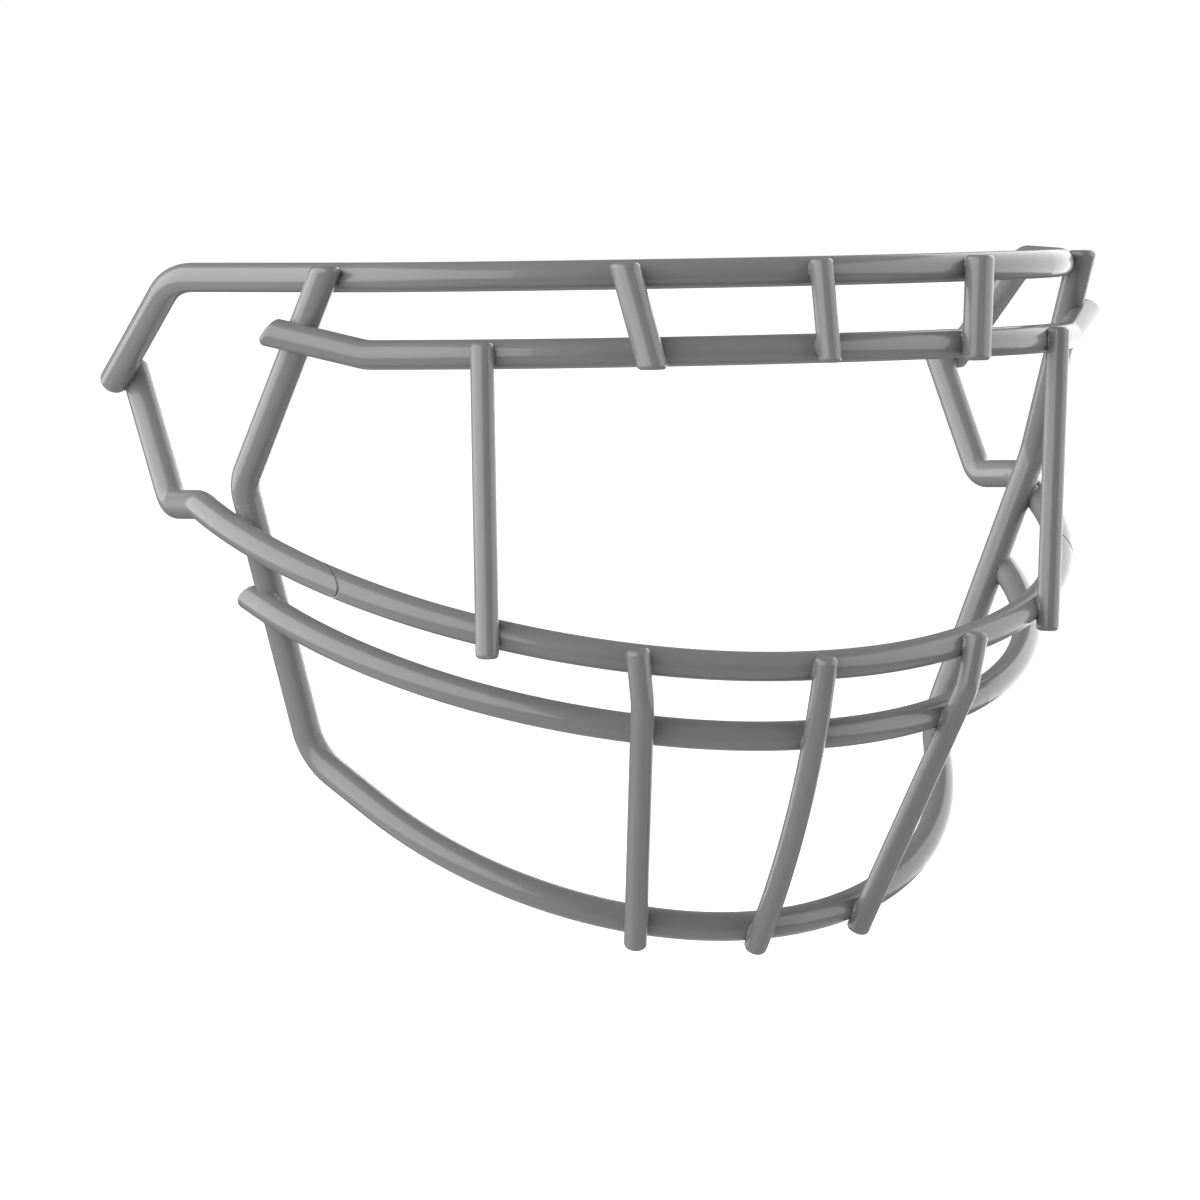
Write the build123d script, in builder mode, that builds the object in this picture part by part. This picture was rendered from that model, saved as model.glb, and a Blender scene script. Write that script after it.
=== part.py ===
from build123d import *
from math import cos, hypot, radians, sin, sqrt, tan
import os

# Cage of a football faceguard: bent steel wire in two gauges, welded where the wires cross
# and dipped in a thick gloss coating. Sizes are in millimetres, over the coating.
# The origin is on the axis of the top bar at the middle of the forehead. The front of the
# cage faces -Y, +Z is up and +X is the wearer's left. The cage is the same on both sides,
# so each half is drawn on the +X side and mirrored.

# Wire gauges, how far two wires are pressed into each other where they are welded, and the
# slant that takes the upper corner off the ends of the brow bar and the lower bar
bar_diameter = 6.0
light_bar_diameter = 4.8
weld_set_down = 1.1
leg_weld_set_down = 2.8
middle_weld_set_down = 1.6
end_rounding = 1.0
bead_width = 0.8
trim_slant = 28.0

# Top bar: two arcs in one level plane, a straight side, and a leg that drops behind it
top_front_radius = 115.3
top_front_turn = 36.4
top_side_radius = 51.0
top_side_turn = 30.9
top_side_run = 44.4
top_bend_radius = 14.6
top_leg_back = 30.1
top_leg_drop = 22.3
top_leg_overhang = 1.8

# Uprights: from a level end outside the top bar down and back to the bend at the cheekbone
upright_setback = 43.5
upright_spread = 4.9
upright_back = 27.4
upright_drop = 41.2
upright_rise = 3.1
cheek_bend_radius = 10.1
cheek_stub = 0.5

# Chin loop: two arcs in a tilted plane, a corner, and a leg up to each cheek bend
chin_setback = 27.8
chin_drop = 134.8
chin_tilt = 34.8
chin_front_radius = 73.0
chin_front_turn = 39.4
chin_side_radius = 74.3
chin_side_turn = 27.6
chin_side_run = 18.5
chin_corner_radius = 10.5

# Brow bar: below the top bar, its ends kinked up across the outside of the uprights
brow_proud = 2.4
brow_drop = 15.5
brow_front_radius = 114.2
brow_front_turn = 27.0
brow_side_radius = 86.4
brow_side_turn = 19.6
brow_side_run = 10.5
brow_kink_radius = 10.9
brow_crossing_drop = 12.4
brow_overhang = 6.2

# Jaw bar and side arms: one tilted arc, divided by an upright seam that runs straight back,
# and carried on to the top bar
jaw_drop = 79.6
jaw_tilt = 21.9
jaw_front_radius = 101.4
jaw_front_turn = 42.5
arm_seam_setout = 86.85
arm_seam_width = 0.35
arm_seam_depth = 0.25
arm_wrap_radius = 91.8
arm_wrap_turn = 6.9
arm_stub = 0.4
arm_low_bend_radius = 7.4
arm_high_bend_radius = 5.4
arm_back = 17.0
arm_rise = 25.9
arm_overhang = 3.1

# Lower bar: a second tilted arc below the jaw bar, its ends outside the legs of the chin loop
lower_setback = 4.8
lower_drop = 94.0
lower_tilt = 21.9
lower_front_radius = 91.7
lower_front_turn = 32.0
lower_overhang = 4.0

# Brow links: short bars in front of the top bar and the brow bar, their ends cut level
link_top_spacing = 39.4
link_brow_spacing = 36.7
link_rise = 1.8
link_drop = 4.1
middle_link_rise = 2.0
middle_link_drop = 3.5

# Eye bars: light bars in front of the brow bar and the jaw bar
eye_brow_spacing = 64.7
eye_jaw_spacing = 63.2
eye_brow_overhang = 2.7
eye_jaw_overhang = 4.7

# Chin bars: light bars in front of the jaw bar, the lower bar and the chin loop
chin_bar_jaw_spacing = 37.6
chin_bar_lower_spacing = 34.5
chin_bar_chin_spacing = 25.4
chin_bar_kink_height = 8.9
chin_bar_kink_radius = 7.4
chin_bar_top_overhang = 3.1
chin_bar_bottom_overhang = 3.9
middle_chin_bar_top_overhang = 3.2
middle_chin_bar_bottom_overhang = 3.7

# Butt welds at the cheeks, ground nearly flush
cheek_joint_length = 0.4
cheek_joint_depth = 0.06

settling_passes = 8

os.makedirs("parts", exist_ok=True)


def outward(down, along):
    """Direction away from the face, square to a wire that runs down and one that runs along."""
    return down.cross(along).normalized()


def spacing(wire_diameter, set_down):
    """Distance between the axes of a heavy bar and the wire that is welded across it."""
    return (bar_diameter + wire_diameter) / 2 - set_down


def station(axis, plane):
    """Point and direction of a bar's axis where it passes through a plane."""
    point = axis.intersect(plane)[0].center()
    return point, axis.tangent_at(point)


def touch_outside_leg(front, level, gap):
    """Point on the leg of the chin loop, and the point of a bar's side arc welded outside it."""
    along = front % 1
    for settle in range(settling_passes):
        beside = cheek_vertex + outward(leg_direction, along) * gap
        reach = (level.origin - beside).dot(level.z_dir) / leg_direction.dot(level.z_dir)
        touch = beside + leg_direction * reach
        along = TangentArc(front @ 1, touch, tangent=front % 1) % 1
    return beside + leg_direction * reach - outward(leg_direction, along) * gap, touch


def across(upper, lower, gap):
    """Points of a wire's axis in front of an upper and a lower bar, each a (point, direction)."""
    down = lower[0] - upper[0]
    return upper[0] + outward(down, upper[1]) * gap, lower[0] + outward(down, lower[1]) * gap


def cut_end(axis, position):
    """Plane of a wire's cut end, facing away from the wire."""
    return Plane(origin=axis @ position, z_dir=(axis % position) * (2 * position - 1))


def slanted_end(point, direction):
    """Plane of an end whose upper corner is trimmed back, facing away from the wire."""
    rise = (Axis.Z.direction - direction * direction.Z).normalized()
    return Plane(
        origin=point,
        z_dir=direction * cos(radians(trim_slant)) + rise * sin(radians(trim_slant)),
    )


def level_end(height, facing):
    """Level plane of a wire's end, facing up or down, away from the wire."""
    return Plane(origin=(0, 0, height), z_dir=Axis.Z.direction * facing)


def other_side(vector):
    """The same point or direction on the wearer's other side."""
    return Vector(-vector.X, vector.Y, vector.Z)


def weld_bead(bar_point, wire_point, wire_diameter, set_down, wires, ends=()):
    """Bead round a crossing: a ball a little wider than it, less the wires, flush at their ends.
    The ball's poles point at the two wires, so they fall inside the metal that is taken away.
    """
    side = (wire_point - bar_point).normalized()
    crest_gap = spacing(wire_diameter, set_down) - bar_diameter / 2
    half_width = sqrt((wire_diameter / 2) ** 2 - crest_gap**2)
    middle = bar_point + side * (bar_diameter - set_down) / 2
    with BuildPart() as bead:
        with Locations(Plane(origin=middle, z_dir=side)):
            Sphere(hypot(half_width, set_down / 2) + bead_width)
        for end in ends:
            split(bisect_by=end, keep=Keep.BOTTOM)
        for wire in wires:
            add(wire.part, mode=Mode.SUBTRACT)
    return bead.part


# Axis of the top bar
with BuildLine() as top_axis:
    top_front = JernArc((0, 0), (1, 0), top_front_radius, top_front_turn)
    top_side = JernArc(top_front @ 1, top_front % 1, top_side_radius, top_side_turn)
    top_bend = top_side @ 1 + (top_side % 1) * top_side_run
    top_leg_end = top_bend + Vector(0, top_leg_back, -top_leg_drop)
    FilletPolyline(top_side @ 1, top_bend, top_leg_end, radius=top_bend_radius)

# Axis of the upright, from above its level end to the butt weld under the cheek bend
top_upright_point, top_upright_direction = station(
    top_axis.wire(), Plane.XZ.offset(-upright_setback)
)
upright_run = Vector(upright_spread, upright_back, -upright_drop)
upright_direction = upright_run.normalized()
upright_weld = top_upright_point + outward(upright_direction, top_upright_direction) * spacing(
    bar_diameter, weld_set_down
)
cheek_vertex = upright_weld + upright_run

# Axis of the chin loop, from the middle of the chin up to the butt weld
chin_level = Plane(origin=(0, chin_setback, -chin_drop)).rotated((chin_tilt, 0, 0))
with BuildLine(chin_level) as chin_axis:
    chin_front = JernArc((0, 0), (1, 0), chin_front_radius, chin_front_turn)
    chin_side = JernArc(chin_front @ 1, chin_front % 1, chin_side_radius, chin_side_turn)
    chin_corner = chin_side @ 1 + (chin_side % 1) * chin_side_run
    leg_direction = (chin_corner - cheek_vertex).normalized()
    cheek_turn = radians(leg_direction.get_angle(upright_direction))
    cheek_reach = cheek_bend_radius * tan(cheek_turn / 2) + cheek_stub
    upright_end = cheek_vertex + leg_direction * cheek_reach
    leg_top = upright_end + leg_direction * cheek_joint_length
    FilletPolyline(chin_side @ 1, chin_corner, leg_top, radius=chin_corner_radius)

with BuildLine() as upright_axis:
    FilletPolyline(
        upright_weld - upright_direction * (upright_rise + bar_diameter),
        cheek_vertex,
        upright_end,
        radius=cheek_bend_radius,
    )

# How far the lower corner of a trimmed end stands past the middle of the cut
trim_reach = tan(radians(trim_slant)) * bar_diameter / 2

# Axis of the brow bar, its leg passing outside the upright
brow_level = Plane(origin=(0, -brow_proud, -brow_drop))
upright_brow_point = upright_weld + upright_direction * brow_crossing_drop
with BuildLine(brow_level) as brow_axis:
    brow_front = JernArc((0, 0), (1, 0), brow_front_radius, brow_front_turn)
    brow_side = JernArc(brow_front @ 1, brow_front % 1, brow_side_radius, brow_side_turn)
    brow_kink = brow_side @ 1 + (brow_side % 1) * brow_side_run
    brow_leg_direction = brow_side % 1
    for settle in range(settling_passes):
        brow_leg_weld = upright_brow_point + outward(
            upright_direction, brow_leg_direction
        ) * spacing(bar_diameter, leg_weld_set_down)
        brow_leg_direction = (brow_leg_weld - brow_kink).normalized()
    brow_end = brow_leg_weld + brow_leg_direction * brow_overhang
    brow_tip = brow_end + brow_leg_direction * trim_reach
    FilletPolyline(brow_side @ 1, brow_kink, brow_tip, radius=brow_kink_radius)

# Axis of the jaw bar, past the seam of the side arm to the leg of the chin loop
jaw_level = Plane(origin=(0, 0, -jaw_drop)).rotated((jaw_tilt, 0, 0))
with BuildLine(jaw_level) as jaw_axis:
    jaw_front = JernArc((0, 0), (1, 0), jaw_front_radius, jaw_front_turn)
jaw_leg_point, jaw_leg_weld = touch_outside_leg(
    jaw_front, jaw_level, spacing(bar_diameter, weld_set_down)
)
with jaw_axis:
    jaw_side = TangentArc(jaw_front @ 1, jaw_leg_weld, tangent=jaw_front % 1)

# Axis of the side arm: the jaw bar's side arc, on round the leg of the chin loop, back to a
# second bend and up inside the top bar's leg
top_leg_direction = (top_leg_end - top_bend).normalized()
top_leg_point = top_leg_end - top_leg_direction * top_leg_overhang
arm_upper_run = Vector(0, arm_back, arm_rise)
arm_direction = arm_upper_run.normalized()
arm_weld = top_leg_point - outward(-arm_direction, top_leg_direction) * spacing(
    bar_diameter, weld_set_down
)
arm_high_bend = arm_weld - arm_upper_run
with BuildLine(jaw_level) as arm_axis:
    arm_side = TangentArc(jaw_front @ 1, jaw_leg_weld, tangent=jaw_front % 1)
    arm_wrap = JernArc(arm_side @ 1, arm_side % 1, arm_wrap_radius, arm_wrap_turn)
    arm_low_bend = arm_wrap @ 1
    for settle in range(settling_passes):
        arm_turn = radians((arm_high_bend - arm_low_bend).get_angle(arm_wrap % 1))
        arm_reach = arm_low_bend_radius * tan(arm_turn / 2) + arm_stub
        arm_low_bend = arm_wrap @ 1 + (arm_wrap % 1) * arm_reach
    FilletPolyline(
        arm_wrap @ 1,
        arm_low_bend,
        arm_high_bend,
        arm_weld + arm_direction * arm_overhang,
        radius=(arm_low_bend_radius, arm_high_bend_radius),
    )

# Axis of the lower bar
lower_level = Plane(origin=(0, lower_setback, -lower_drop)).rotated((lower_tilt, 0, 0))
with BuildLine(lower_level) as lower_axis:
    lower_front = JernArc((0, 0), (1, 0), lower_front_radius, lower_front_turn)
lower_leg_point, lower_leg_weld = touch_outside_leg(
    lower_front, lower_level, spacing(bar_diameter, leg_weld_set_down)
)
with lower_axis:
    lower_side = TangentArc(lower_front @ 1, lower_leg_weld, tangent=lower_front % 1)
    lower_end = lower_side @ 1 + (lower_side % 1) * lower_overhang
    Line(lower_side @ 1, lower_end + (lower_side % 1) * trim_reach)

# Axes of the brow links, a radius longer at each end than the level cuts need
link_top = station(top_axis.wire(), Plane.YZ.offset(link_top_spacing))
link_brow = station(brow_axis.wire(), Plane.YZ.offset(link_brow_spacing))
link_welds = across(link_top, link_brow, spacing(bar_diameter, weld_set_down))
link_direction = (link_welds[1] - link_welds[0]).normalized()
with BuildLine() as link_axis:
    Line(
        link_welds[0] - link_direction * (link_rise + bar_diameter / 2),
        link_welds[1] + link_direction * (link_drop + bar_diameter / 2),
    )
middle_top = (top_front @ 0, top_front % 0)
middle_brow = (brow_front @ 0, brow_front % 0)
middle_link_welds = across(middle_top, middle_brow, spacing(light_bar_diameter, weld_set_down))
middle_link_direction = (middle_link_welds[1] - middle_link_welds[0]).normalized()
with BuildLine() as middle_link_axis:
    Line(
        middle_link_welds[0] - middle_link_direction * (middle_link_rise + light_bar_diameter / 2),
        middle_link_welds[1] + middle_link_direction * (middle_link_drop + light_bar_diameter / 2),
    )

# Axis of the eye bar
eye_brow = station(brow_axis.wire(), Plane.YZ.offset(eye_brow_spacing))
eye_jaw = station(jaw_axis.wire(), Plane.YZ.offset(eye_jaw_spacing))
eye_welds = across(eye_brow, eye_jaw, spacing(light_bar_diameter, weld_set_down))
eye_direction = (eye_welds[1] - eye_welds[0]).normalized()
with BuildLine() as eye_axis:
    Line(
        eye_welds[0] - eye_direction * eye_brow_overhang,
        eye_welds[1] + eye_direction * eye_jaw_overhang,
    )

# Axis of the side chin bar: straight over the lower bar and the chin loop, kinked to the jaw bar
chin_bar_lower = station(lower_axis.wire(), Plane.YZ.offset(chin_bar_lower_spacing))
chin_bar_chin = station(chin_axis.wire(), Plane.YZ.offset(chin_bar_chin_spacing))
chin_bar_jaw = station(jaw_axis.wire(), Plane.YZ.offset(chin_bar_jaw_spacing))
chin_bar_welds = across(
    chin_bar_lower, chin_bar_chin, spacing(light_bar_diameter, weld_set_down)
)
chin_bar_direction = (chin_bar_welds[1] - chin_bar_welds[0]).normalized()
chin_bar_kink = chin_bar_welds[0] - chin_bar_direction * chin_bar_kink_height
chin_bar_jaw_weld = chin_bar_jaw[0]
for settle in range(settling_passes):
    chin_bar_jaw_weld = chin_bar_jaw[0] + outward(
        chin_bar_kink - chin_bar_jaw_weld, chin_bar_jaw[1]
    ) * spacing(light_bar_diameter, weld_set_down)
chin_bar_top_direction = (chin_bar_jaw_weld - chin_bar_kink).normalized()
with BuildLine() as chin_bar_axis:
    FilletPolyline(
        chin_bar_jaw_weld + chin_bar_top_direction * chin_bar_top_overhang,
        chin_bar_kink,
        chin_bar_welds[1] + chin_bar_direction * chin_bar_bottom_overhang,
        radius=chin_bar_kink_radius,
    )

# Axis of the middle chin bar: one bow over all three bars
middle_jaw = (jaw_front @ 0, jaw_front % 0)
middle_lower = (lower_front @ 0, lower_front % 0)
middle_chin = (chin_front @ 0, chin_front % 0)
middle_gap = spacing(light_bar_diameter, middle_weld_set_down)
middle_jaw_weld = across(middle_jaw, middle_lower, middle_gap)[0]
middle_chin_weld = across(middle_lower, middle_chin, middle_gap)[1]
middle_down = middle_chin_weld - middle_jaw_weld
middle_lower_weld = middle_lower[0] + outward(middle_down, middle_lower[1]) * middle_gap
with BuildLine() as bow_path:
    bow = ThreePointArc(middle_jaw_weld, middle_lower_weld, middle_chin_weld)
    Line(bow @ 0 - (bow % 0) * middle_chin_bar_top_overhang, bow @ 0)
    Line(bow @ 1, bow @ 1 + (bow % 1) * middle_chin_bar_bottom_overhang)

# Top bar, bent from one length of heavy wire
with BuildPart() as top_bar:
    with BuildLine() as top_path:
        add(top_axis.line)
        mirror(about=Plane.YZ)
    with BuildSketch(cut_end(top_path.wire(), 0)):
        Circle(bar_diameter / 2)
    sweep(path=top_path.wire())
    fillet(top_bar.faces().filter_by(GeomType.PLANE).edges(), end_rounding)
top_bar.part.label = "top_bar"

# Upright, level at the top and saddled where it is welded outside the top bar, square at the
# butt weld
upright_top = level_end(upright_weld.Z + upright_rise, 1)
with BuildPart() as left_upright:
    with BuildSketch(cut_end(upright_axis.wire(), 0)):
        Circle(bar_diameter / 2)
    sweep(path=upright_axis.wire())
    split(bisect_by=upright_top, keep=Keep.BOTTOM)
    fillet(left_upright.edges().group_by(Axis.Z)[-1], end_rounding)
    add(top_bar.part, mode=Mode.SUBTRACT)
left_upright.part.label = "left_upright"

# Chin loop, one wire from cheek to cheek, its two legs square at the butt welds
with BuildPart() as chin_loop:
    with BuildLine() as chin_path:
        add(chin_axis.line)
        mirror(about=Plane.YZ)
    with BuildSketch(cut_end(chin_path.wire(), 0)):
        Circle(bar_diameter / 2)
    sweep(path=chin_path.wire())
chin_loop.part.label = "chin_loop"

# Brow bar, trimmed at both ends and saddled over the uprights
with BuildPart() as brow_bar:
    with BuildLine() as brow_path:
        add(brow_axis.line)
        mirror(about=Plane.YZ)
    with BuildSketch(cut_end(brow_path.wire(), 0)):
        Circle(bar_diameter / 2)
    sweep(path=brow_path.wire())
    split(bisect_by=slanted_end(brow_end, brow_leg_direction), keep=Keep.BOTTOM)
    split(
        bisect_by=slanted_end(other_side(brow_end), other_side(brow_leg_direction)),
        keep=Keep.BOTTOM,
    )
    fillet(brow_bar.faces().filter_by(GeomType.PLANE).edges(), end_rounding)
    add(left_upright.part, mode=Mode.SUBTRACT)
    mirror(left_upright.part, about=Plane.YZ, mode=Mode.SUBTRACT)
brow_bar.part.label = "brow_bar"

# Jaw bar, one long bow between the seams of the side arms
with BuildPart() as jaw_bar:
    with BuildLine() as jaw_path:
        add(jaw_axis.line)
        mirror(about=Plane.YZ)
    with BuildSketch(cut_end(jaw_path.wire(), 0)):
        Circle(bar_diameter / 2)
    sweep(path=jaw_path.wire())
    split(bisect_by=Plane.YZ.offset(arm_seam_setout), keep=Keep.BOTTOM)
    split(bisect_by=Plane.YZ.offset(-arm_seam_setout), keep=Keep.TOP)
jaw_bar.part.label = "jaw_bar"

# Side arm, saddled over the leg of the chin loop and against the top bar's leg
with BuildPart() as left_side_arm:
    with BuildSketch(cut_end(arm_axis.wire(), 0)):
        Circle(bar_diameter / 2)
    sweep(path=arm_axis.wire())
    split(bisect_by=Plane.YZ.offset(arm_seam_setout + arm_seam_width), keep=Keep.TOP)
    fillet(left_side_arm.edges().group_by(Axis.Z)[-1], end_rounding)
    add(chin_loop.part, mode=Mode.SUBTRACT)
    add(top_bar.part, mode=Mode.SUBTRACT)
left_side_arm.part.label = "left_side_arm"

# Lower bar, trimmed at both ends and saddled over the legs of the chin loop
with BuildPart() as lower_bar:
    with BuildLine() as lower_path:
        add(lower_axis.line)
        mirror(about=Plane.YZ)
    with BuildSketch(cut_end(lower_path.wire(), 0)):
        Circle(bar_diameter / 2)
    sweep(path=lower_path.wire())
    split(bisect_by=slanted_end(lower_end, lower_side % 1), keep=Keep.BOTTOM)
    split(
        bisect_by=slanted_end(other_side(lower_end), other_side(lower_side % 1)),
        keep=Keep.BOTTOM,
    )
    fillet(lower_bar.faces().filter_by(GeomType.PLANE).edges(), end_rounding)
    add(chin_loop.part, mode=Mode.SUBTRACT)
lower_bar.part.label = "lower_bar"

# Brow links: a heavy one on each side and a light one in the middle
link_top_end = level_end(link_welds[0].Z + link_rise, 1)
link_brow_end = level_end(link_welds[1].Z - link_drop, -1)
with BuildPart() as left_brow_link:
    with BuildSketch(cut_end(link_axis.wire(), 0)):
        Circle(bar_diameter / 2)
    sweep(path=link_axis.wire())
    for end in (link_top_end, link_brow_end):
        split(bisect_by=end, keep=Keep.BOTTOM)
    fillet(left_brow_link.faces().filter_by(GeomType.PLANE).edges(), end_rounding)
    add(top_bar.part, mode=Mode.SUBTRACT)
    add(brow_bar.part, mode=Mode.SUBTRACT)
left_brow_link.part.label = "left_brow_link"

middle_link_top_end = level_end(middle_link_welds[0].Z + middle_link_rise, 1)
middle_link_brow_end = level_end(middle_link_welds[1].Z - middle_link_drop, -1)
with BuildPart() as middle_brow_link:
    with BuildSketch(cut_end(middle_link_axis.wire(), 0)):
        Circle(light_bar_diameter / 2)
    sweep(path=middle_link_axis.wire())
    for end in (middle_link_top_end, middle_link_brow_end):
        split(bisect_by=end, keep=Keep.BOTTOM)
    fillet(middle_brow_link.faces().filter_by(GeomType.PLANE).edges(), end_rounding)
    add(top_bar.part, mode=Mode.SUBTRACT)
    add(brow_bar.part, mode=Mode.SUBTRACT)
middle_brow_link.part.label = "middle_brow_link"

# Eye bar, straight from the brow bar to the jaw bar
with BuildPart() as left_eye_bar:
    with BuildSketch(cut_end(eye_axis.wire(), 0)):
        Circle(light_bar_diameter / 2)
    sweep(path=eye_axis.wire())
    fillet(left_eye_bar.faces().filter_by(GeomType.PLANE).edges(), end_rounding)
    add(brow_bar.part, mode=Mode.SUBTRACT)
    add(jaw_bar.part, mode=Mode.SUBTRACT)
left_eye_bar.part.label = "left_eye_bar"

# Chin bars, saddled over the jaw bar, the lower bar and the chin loop
with BuildPart() as left_chin_bar:
    with BuildSketch(cut_end(chin_bar_axis.wire(), 0)):
        Circle(light_bar_diameter / 2)
    sweep(path=chin_bar_axis.wire())
    fillet(left_chin_bar.faces().filter_by(GeomType.PLANE).edges(), end_rounding)
    for bar in (jaw_bar, lower_bar, chin_loop):
        add(bar.part, mode=Mode.SUBTRACT)
left_chin_bar.part.label = "left_chin_bar"

with BuildPart() as middle_chin_bar:
    with BuildSketch(cut_end(bow_path.wire(), 0)):
        Circle(light_bar_diameter / 2)
    sweep(path=bow_path.wire())
    fillet(middle_chin_bar.faces().filter_by(GeomType.PLANE).edges(), end_rounding)
    for bar in (jaw_bar, lower_bar, chin_loop):
        add(bar.part, mode=Mode.SUBTRACT)
middle_chin_bar.part.label = "middle_chin_bar"

# Butt welds: the metal in the seam of each side arm, sunk below the wires, and in each cheek
with BuildPart() as arm_butt_welds:
    with BuildSketch(cut_end(jaw_side, 0)):
        Circle(bar_diameter / 2 - arm_seam_depth)
    sweep(path=jaw_side)
    split(bisect_by=Plane.YZ.offset(arm_seam_setout), keep=Keep.TOP)
    split(bisect_by=Plane.YZ.offset(arm_seam_setout + arm_seam_width), keep=Keep.BOTTOM)
    mirror(about=Plane.YZ)
arm_butt_welds.part.label = "arm_butt_welds"

with BuildPart() as cheek_butt_welds:
    with BuildSketch(Plane(origin=upright_end, z_dir=leg_direction)):
        Circle(bar_diameter / 2 - cheek_joint_depth)
    extrude(amount=cheek_joint_length)
    mirror(about=Plane.YZ)
cheek_butt_welds.part.label = "cheek_butt_welds"

# Weld beads round the crossings, grouped by the bar that carries them
heavy_weld = (bar_diameter, weld_set_down)
light_weld = (light_bar_diameter, weld_set_down)
leg_weld = (bar_diameter, leg_weld_set_down)
bow_weld = (light_bar_diameter, middle_weld_set_down)
arm_top = cut_end(arm_axis.wire(), 1)
top_leg_tip = cut_end(top_axis.wire(), 1)
lower_bar_tip = slanted_end(lower_end, lower_side % 1)
eye_brow_end = cut_end(eye_axis.wire(), 0)
eye_jaw_end = cut_end(eye_axis.wire(), 1)
chin_bar_top = cut_end(chin_bar_axis.wire(), 0)
chin_bar_bottom = cut_end(chin_bar_axis.wire(), 1)
bow_top = cut_end(bow_path.wire(), 0)
bow_bottom = cut_end(bow_path.wire(), 1)

top_beads = [
    weld_bead(top_upright_point, upright_weld, *heavy_weld, (top_bar, left_upright), [upright_top]),
    weld_bead(link_top[0], link_welds[0], *heavy_weld, (top_bar, left_brow_link), [link_top_end]),
    weld_bead(
        top_leg_point, arm_weld, *heavy_weld, (top_bar, left_side_arm), [arm_top, top_leg_tip]
    ),
]
middle_top_bead = weld_bead(
    middle_top[0],
    middle_link_welds[0],
    *light_weld,
    (top_bar, middle_brow_link),
    [middle_link_top_end],
)
with BuildPart() as top_bar_welds:
    add(top_beads)
    mirror(about=Plane.YZ)
    add(middle_top_bead)
top_bar_welds.part.label = "top_bar_welds"

brow_beads = [
    weld_bead(upright_brow_point, brow_leg_weld, *leg_weld, (brow_bar, left_upright)),
    weld_bead(link_brow[0], link_welds[1], *heavy_weld, (brow_bar, left_brow_link), [link_brow_end]),
    weld_bead(eye_brow[0], eye_welds[0], *light_weld, (brow_bar, left_eye_bar), [eye_brow_end]),
]
middle_brow_bead = weld_bead(
    middle_brow[0],
    middle_link_welds[1],
    *light_weld,
    (brow_bar, middle_brow_link),
    [middle_link_brow_end],
)
with BuildPart() as brow_bar_welds:
    add(brow_beads)
    mirror(about=Plane.YZ)
    add(middle_brow_bead)
brow_bar_welds.part.label = "brow_bar_welds"

jaw_beads = [
    weld_bead(jaw_leg_point, jaw_leg_weld, *heavy_weld, (chin_loop, left_side_arm)),
    weld_bead(eye_jaw[0], eye_welds[1], *light_weld, (jaw_bar, left_eye_bar), [eye_jaw_end]),
    weld_bead(
        chin_bar_jaw[0], chin_bar_jaw_weld, *light_weld, (jaw_bar, left_chin_bar), [chin_bar_top]
    ),
]
middle_jaw_bead = weld_bead(
    middle_jaw[0], middle_jaw_weld, *bow_weld, (jaw_bar, middle_chin_bar), [bow_top]
)
with BuildPart() as jaw_bar_welds:
    add(jaw_beads)
    mirror(about=Plane.YZ)
    add(middle_jaw_bead)
jaw_bar_welds.part.label = "jaw_bar_welds"

lower_beads = [
    weld_bead(lower_leg_point, lower_leg_weld, *leg_weld, (lower_bar, chin_loop), [lower_bar_tip]),
    weld_bead(chin_bar_lower[0], chin_bar_welds[0], *light_weld, (lower_bar, left_chin_bar)),
]
middle_lower_bead = weld_bead(
    middle_lower[0], middle_lower_weld, *bow_weld, (lower_bar, middle_chin_bar)
)
with BuildPart() as lower_bar_welds:
    add(lower_beads)
    mirror(about=Plane.YZ)
    add(middle_lower_bead)
lower_bar_welds.part.label = "lower_bar_welds"

chin_bead = weld_bead(
    chin_bar_chin[0], chin_bar_welds[1], *light_weld, (chin_loop, left_chin_bar), [chin_bar_bottom]
)
middle_chin_bead = weld_bead(
    middle_chin[0], middle_chin_weld, *bow_weld, (chin_loop, middle_chin_bar), [bow_bottom]
)
with BuildPart() as chin_loop_welds:
    add(chin_bead)
    mirror(about=Plane.YZ)
    add(middle_chin_bead)
chin_loop_welds.part.label = "chin_loop_welds"

# The wires that come in pairs, mirrored to the wearer's right
pieces = [top_bar, brow_bar, chin_loop, jaw_bar, lower_bar, middle_brow_link, middle_chin_bar]
pieces += [top_bar_welds, brow_bar_welds, jaw_bar_welds, lower_bar_welds, chin_loop_welds]
pieces += [arm_butt_welds, cheek_butt_welds]
for left_piece in (left_upright, left_side_arm, left_brow_link, left_eye_bar, left_chin_bar):
    with BuildPart() as right_piece:
        mirror(left_piece.part, about=Plane.YZ)
    right_piece.part.label = left_piece.part.label.replace("left", "right")
    pieces += [left_piece, right_piece]

for piece in pieces:
    export_step(piece.part, f"parts/{piece.part.label}.step")
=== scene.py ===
from math import atan2, cos, pi, radians, sin

import bpy
from mathutils import Matrix, Vector


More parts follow.
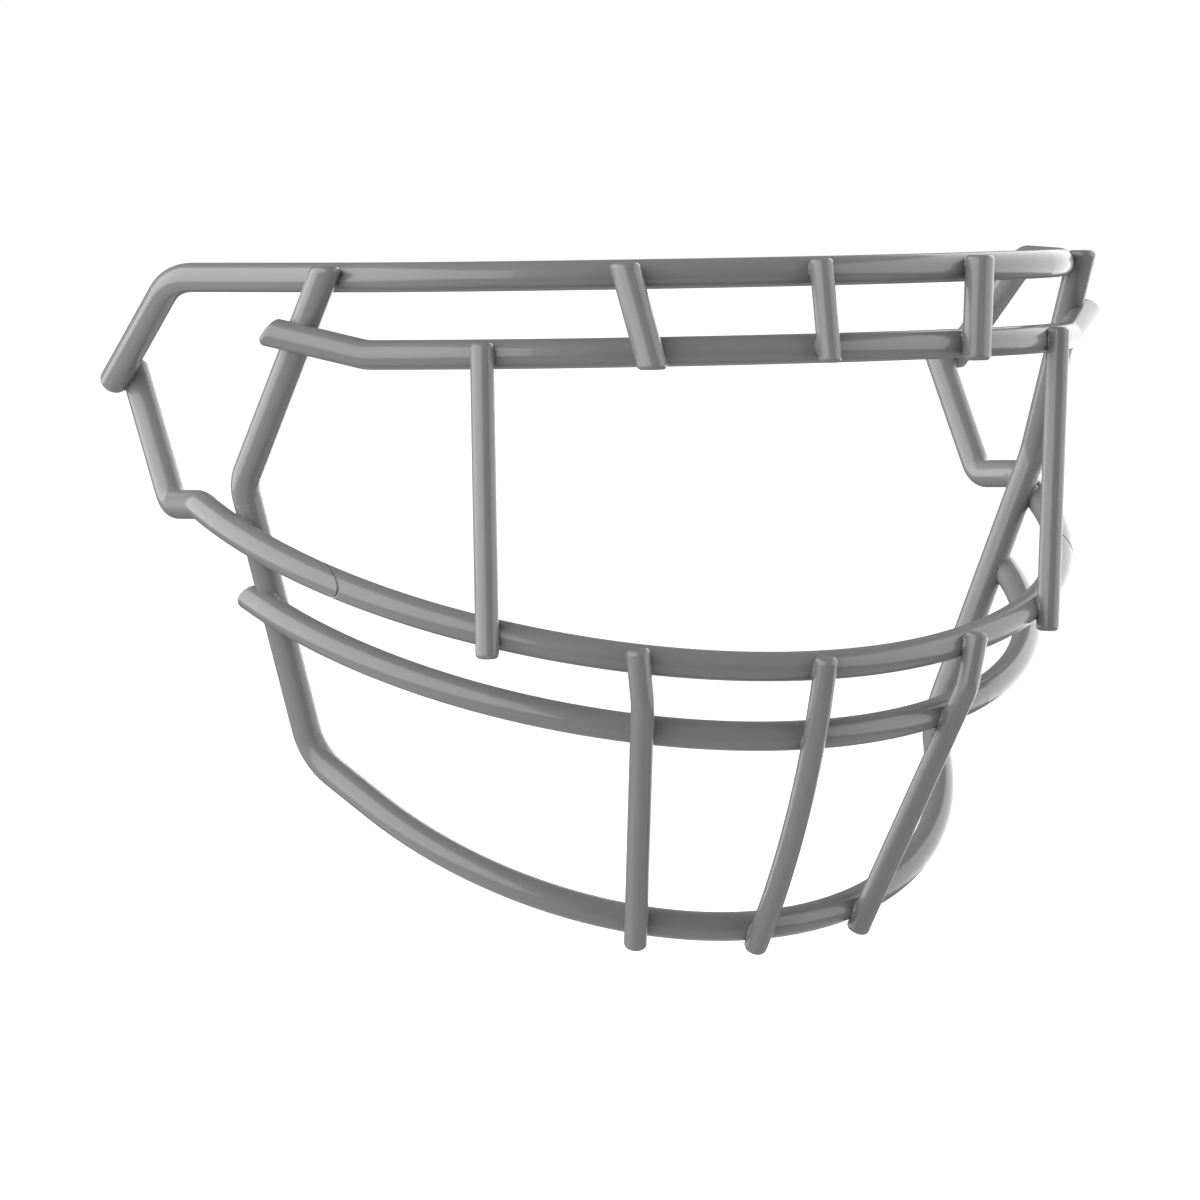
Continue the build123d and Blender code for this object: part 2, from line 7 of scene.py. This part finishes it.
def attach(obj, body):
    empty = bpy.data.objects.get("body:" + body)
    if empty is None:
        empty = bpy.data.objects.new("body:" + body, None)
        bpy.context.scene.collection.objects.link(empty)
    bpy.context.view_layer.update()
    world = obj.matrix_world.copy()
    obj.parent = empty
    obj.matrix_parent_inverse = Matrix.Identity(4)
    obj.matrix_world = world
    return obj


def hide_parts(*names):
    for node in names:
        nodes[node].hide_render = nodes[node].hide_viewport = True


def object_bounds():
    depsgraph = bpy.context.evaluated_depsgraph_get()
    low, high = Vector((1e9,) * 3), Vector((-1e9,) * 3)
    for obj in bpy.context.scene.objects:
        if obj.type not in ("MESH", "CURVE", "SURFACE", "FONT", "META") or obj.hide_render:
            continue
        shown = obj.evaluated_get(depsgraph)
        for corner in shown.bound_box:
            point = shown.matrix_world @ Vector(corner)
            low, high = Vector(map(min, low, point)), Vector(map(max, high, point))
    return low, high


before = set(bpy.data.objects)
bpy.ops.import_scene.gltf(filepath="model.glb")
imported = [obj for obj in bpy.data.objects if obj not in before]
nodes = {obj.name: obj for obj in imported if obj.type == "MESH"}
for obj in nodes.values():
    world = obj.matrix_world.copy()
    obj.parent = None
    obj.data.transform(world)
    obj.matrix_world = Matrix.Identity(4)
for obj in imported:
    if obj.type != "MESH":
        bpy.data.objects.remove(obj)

cad_low, cad_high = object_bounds()

# The heavy bars, each one bent steel wire, which carry the cage's load from side to side. Like
# every wire here they are dipped, already welded, in a thick grey plastic coat. It flows before it
# sets to a smooth gloss, so its skin has a faint long swell and its gloss varies a little.


class Socket:
    """A shader socket that takes part in plain sums."""

    def __init__(self, tree, socket):
        self.tree = tree
        self.socket = socket

    def node(self, kind, settings=(), **inputs):
        """A new node of that kind: its settings first, then the values or links of its sockets."""
        made = self.tree.nodes.new(kind)
        for name, value in dict(settings).items():
            setattr(made, name, value)
        for name, value in inputs.items():
            is_number = name[1:].isdigit()
            entry = made.inputs[int(name[1:]) if is_number else name.replace("_", " ")]
            if isinstance(value, Socket):
                self.tree.links.new(value.socket, entry)
            else:
                entry.default_value = value
        return made

    def take(self, made, output=0):
        return Socket(self.tree, made.outputs[output])

    def maths(self, operation, first, second):
        return self.take(self.node("ShaderNodeMath", {"operation": operation}, _0=first, _1=second))

    def __add__(self, other):
        return self.maths("ADD", self, other)

    def __radd__(self, other):
        return self.maths("ADD", other, self)

    def __sub__(self, other):
        return self.maths("SUBTRACT", self, other)

    def __rsub__(self, other):
        return self.maths("SUBTRACT", other, self)

    def __mul__(self, other):
        return self.maths("MULTIPLY", self, other)

    def __rmul__(self, other):
        return self.maths("MULTIPLY", other, self)


swell_size = 0.009
swell_height = 0.00002
blotch_size = 0.035
roughness_swing = 0.04
tint_swing = 0.02
skin_gloss = 0.4
skin_roughness = 0.06


def dipped_coat(name, grey, body_roughness):
    """A thick plastic coat of one grey: a soft body under a thin clear skin."""
    material = bpy.data.materials.new(name)
    material.use_nodes = True
    tree = material.node_tree
    tree.nodes.clear()
    output = tree.nodes.new("ShaderNodeOutputMaterial")
    place = tree.nodes.new("ShaderNodeTexCoord")
    where = Socket(tree, place.outputs["Object"])
    swell = where.take(
        where.node(
            "ShaderNodeTexNoise", Vector=where, Scale=1 / swell_size, Detail=1.0, Roughness=0.4
        )
    )
    blotch = where.take(
        where.node(
            "ShaderNodeTexNoise", Vector=where, Scale=1 / blotch_size, Detail=2.0, Roughness=0.5
        )
    )
    bump = where.node("ShaderNodeBump", Strength=1.0, Distance=swell_height, Height=swell)
    roughness = body_roughness + (blotch - 0.5) * roughness_swing
    darker = grey * (1 - tint_swing)
    paler = grey * (1 + tint_swing)
    tint = where.node(
        "ShaderNodeMix",
        {"data_type": "RGBA"},
        _0=blotch,
        _6=(darker, darker, darker, 1),
        _7=(paler, paler, paler, 1),
    )
    coat = where.node(
        "ShaderNodeBsdfPrincipled",
        IOR=1.5,
        Specular_IOR_Level=0.3,
        Coat_Weight=skin_gloss,
        Coat_Roughness=skin_roughness,
    )
    tree.links.new(tint.outputs[2], coat.inputs["Base Color"])
    tree.links.new(roughness.socket, coat.inputs["Roughness"])
    tree.links.new(bump.outputs[0], coat.inputs["Normal"])
    tree.links.new(coat.outputs[0], output.inputs["Surface"])
    return material


def coat_node(name, material):
    """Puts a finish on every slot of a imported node."""
    for slot in nodes[name].material_slots:
        slot.material = material


bar_grey = 0.17
bar_roughness = 0.3
bar_coat = dipped_coat("grey_gloss_coat", bar_grey, bar_roughness)
heavy_bars = ("top_bar", "brow_bar", "jaw_bar", "lower_bar", "chin_loop")
for bar in heavy_bars:
    coat_node(bar, bar_coat)

# The paired wires of each side, bent from the same steel wire: the upright from forehead to
# cheek, and the side arm that carries the jaw bar's line back and up to the top bar's leg.
for side in ("left", "right"):
    coat_node(f"{side}_upright", bar_coat)
    coat_node(f"{side}_side_arm", bar_coat)

# The short and light wires, welded on in front of the heavy ones: links between the top bar and
# the brow bar, eye bars, and the chin bars that close the mouth.
for side in ("left", "middle", "right"):
    coat_node(f"{side}_brow_link", bar_coat)
    coat_node(f"{side}_chin_bar", bar_coat)
for side in ("left", "right"):
    coat_node(f"{side}_eye_bar", bar_coat)

# The weld metal at the crossings: a ring of steel bead in the corners between two wires. The dip
# smooths the corners over, so under the coat each bead is slimmer than bare metal and is drawn in
# towards the middle of its crossing.
bead_slimming = 0.84
crossing_width = 0.012
merge_distance = 0.000001
for bar in heavy_bars:
    beads = bpy.data.objects.new(f"{bar}_coated_beads", nodes[f"{bar}_welds"].data.copy())
    bpy.context.scene.collection.objects.link(beads)
    bpy.ops.object.select_all(action="DESELECT")
    bpy.context.view_layer.objects.active = beads
    beads.select_set(True)
    bpy.ops.object.mode_set(mode="EDIT")
    bpy.ops.mesh.select_all(action="SELECT")
    bpy.ops.mesh.remove_doubles(threshold=merge_distance)
    bpy.ops.object.mode_set(mode="OBJECT")
    crossings = []
    for vertex in beads.data.vertices:
        for crossing in crossings:
            if (crossing[0].co - vertex.co).length < crossing_width:
                crossing.append(vertex)
                break
        else:
            crossings.append([vertex])
    for crossing in crossings:
        low = Vector([min(vertex.co[axis] for vertex in crossing) for axis in range(3)])
        high = Vector([max(vertex.co[axis] for vertex in crossing) for axis in range(3)])
        centre = (low + high) / 2
        for vertex in crossing:
            vertex.co = centre + (vertex.co - centre) * bead_slimming
    beads.data.materials.clear()
    beads.data.materials.append(bar_coat)
    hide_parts(f"{bar}_welds")
    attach(beads, "root")

# The butt joints at the cheeks, weld metal ground nearly flush before the dip. Their grey is a
# little paler than the bars', a painted highlight for the pale line and shading step at the joint.
joint_painted_highlight_grey = 0.2
joint_painted_highlight_coat = dipped_coat("joint_painted_highlight_coat", joint_painted_highlight_grey, bar_roughness)
coat_node("cheek_butt_welds", joint_painted_highlight_coat)

# The butt joint on each side arm, welded and ground below the wire: the coat sinks into the
# groove round it, where it stays in shadow and sets duller. Its grey is a shade darker than the
# bars', painted shade for that shadow.
seam_painted_shade_grey = 0.16
sunken_seam_roughness = 0.35
seam_painted_shade_coat = dipped_coat("seam_painted_shade_material", seam_painted_shade_grey, sunken_seam_roughness)
coat_node("arm_butt_welds", seam_painted_shade_coat)

# The camera: a long lens in front of the wearer's right cheek, a little above the brow, turned
# towards the cage and a little down.
camera_lens = 219.17
camera_sensor_width = 36
camera_place = Vector((-0.7342, -1.27654, 0.02422))
camera_yaw = 0.49246
camera_pitch = 0.06107
camera_roll = -0.0134
ahead = Vector(
    (sin(camera_yaw) * cos(camera_pitch), cos(camera_yaw) * cos(camera_pitch), -sin(camera_pitch))
)
level_right = Vector((cos(camera_yaw), -sin(camera_yaw), 0))
level_up = level_right.cross(ahead)
camera_right = cos(camera_roll) * level_right + sin(camera_roll) * level_up
camera_up = cos(camera_roll) * level_up - sin(camera_roll) * level_right
camera_data = bpy.data.cameras.new("camera")
camera_data.lens = camera_lens
camera_data.sensor_width = camera_sensor_width
camera = bpy.data.objects.new("camera", camera_data)
bpy.context.scene.collection.objects.link(camera)
camera.matrix_world = Matrix((camera_right, camera_up, -ahead)).transposed().to_4x4()
camera.location = camera_place
bpy.context.scene.camera = camera

# The studio panels: a large soft one at the left, from the camera to beside the cage, and a
# second one from the right to behind it. They don't show in the picture.
middle = (cad_low + cad_high) / 2
panel_distance = 1.2


def soft_panel(name, turn, low_angle, high_angle, half_spread, radiance):
    """An even panel on a circle round the cage, turned that far from the camera to the right."""
    toward_camera = camera_place - middle
    heading = atan2(toward_camera.x, -toward_camera.y) + radians(turn)
    out = Vector((sin(heading), -cos(heading), 0))
    low = panel_distance * sin(radians(low_angle)) / cos(radians(low_angle))
    high = panel_distance * sin(radians(high_angle)) / cos(radians(high_angle))
    width = 2 * panel_distance * sin(radians(half_spread)) / cos(radians(half_spread))
    panel = bpy.data.lights.new(name, "AREA")
    panel.shape = "RECTANGLE"
    panel.size = width
    panel.size_y = high - low
    panel.energy = radiance * pi * width * (high - low)
    holder = bpy.data.objects.new(name, panel)
    bpy.context.scene.collection.objects.link(holder)
    holder.location = middle + out * panel_distance + Vector((0, 0, (high + low) / 2))
    holder.rotation_mode = "QUATERNION"
    holder.rotation_quaternion = out.to_track_quat("Z", "Y")
    holder.visible_camera = False


soft_panel("left_panel", turn=-65, low_angle=-20, high_angle=60, half_spread=59, radiance=2.93)
soft_panel("right_panel", turn=115, low_angle=-23, high_angle=48, half_spread=55, radiance=2.25)

# The light that the white floor throws back up, as one soft square panel below the cage, which
# doesn't show in the picture either.
bounce_width = 1.6
bounce_drop = 0.6
bounce_radiance = 0.62
bounce = bpy.data.lights.new("bounce_from_below", "AREA")
bounce.shape = "SQUARE"
bounce.size = bounce_width
bounce.energy = bounce_radiance * pi * bounce_width**2
bounce_holder = bpy.data.objects.new("bounce_from_below", bounce)
bpy.context.scene.collection.objects.link(bounce_holder)
bounce_holder.location = middle - Vector((0, 0, bounce_drop))
bounce_holder.rotation_euler = (pi, 0, 0)
bounce_holder.visible_camera = False

# The room: dim and grey for the light that it gives, and plain white where the camera looks past
# the cage.
room_dimness = 0.2
room_brightness = 1.0
world = bpy.data.worlds.new("room")
bpy.context.scene.world = world
world.use_nodes = True
world_tree = world.node_tree
world_tree.nodes.clear()
room_output = world_tree.nodes.new("ShaderNodeOutputWorld")
room_rays = world_tree.nodes.new("ShaderNodeLightPath")
room_shade = Socket(world_tree, room_rays.outputs["Is Camera Ray"])
room_light = room_shade.node("ShaderNodeBackground", Color=(1, 1, 1, 1), Strength=room_dimness)
room_white = room_shade.node("ShaderNodeBackground", Color=(1, 1, 1, 1), Strength=room_brightness)
room_mix = room_shade.node("ShaderNodeMixShader", _0=room_shade)
world_tree.links.new(room_light.outputs[0], room_mix.inputs[1])
world_tree.links.new(room_white.outputs[0], room_mix.inputs[2])
world_tree.links.new(room_mix.outputs[0], room_output.inputs["Surface"])

# The floor: plain white, well below the cage, which hangs clear of it as in the photograph. It
# stays out of the cage's reflections.
floor_drop = 0.25
floor_width = 40.0
floor_white = 0.9
floor_roughness = 0.9
floor_glow = 1.0
bpy.ops.object.select_all(action="DESELECT")
bpy.ops.mesh.primitive_plane_add(size=floor_width, location=(0, 0, cad_low.z - floor_drop))
floor = bpy.context.object
floor.name = "floor"
floor_paint = bpy.data.materials.new("white_floor")
floor_paint.use_nodes = True
floor_shader = floor_paint.node_tree.nodes["Principled BSDF"]
floor_shader.inputs["Base Color"].default_value = (floor_white, floor_white, floor_white, 1)
floor_shader.inputs["Roughness"].default_value = floor_roughness
floor_shader.inputs["Emission Color"].default_value = (1, 1, 1, 1)
floor_shader.inputs["Emission Strength"].default_value = floor_glow
floor.data.materials.append(floor_paint)
floor.visible_glossy = False
floor.visible_diffuse = False

bpy.context.scene.view_settings.view_transform = "Standard"
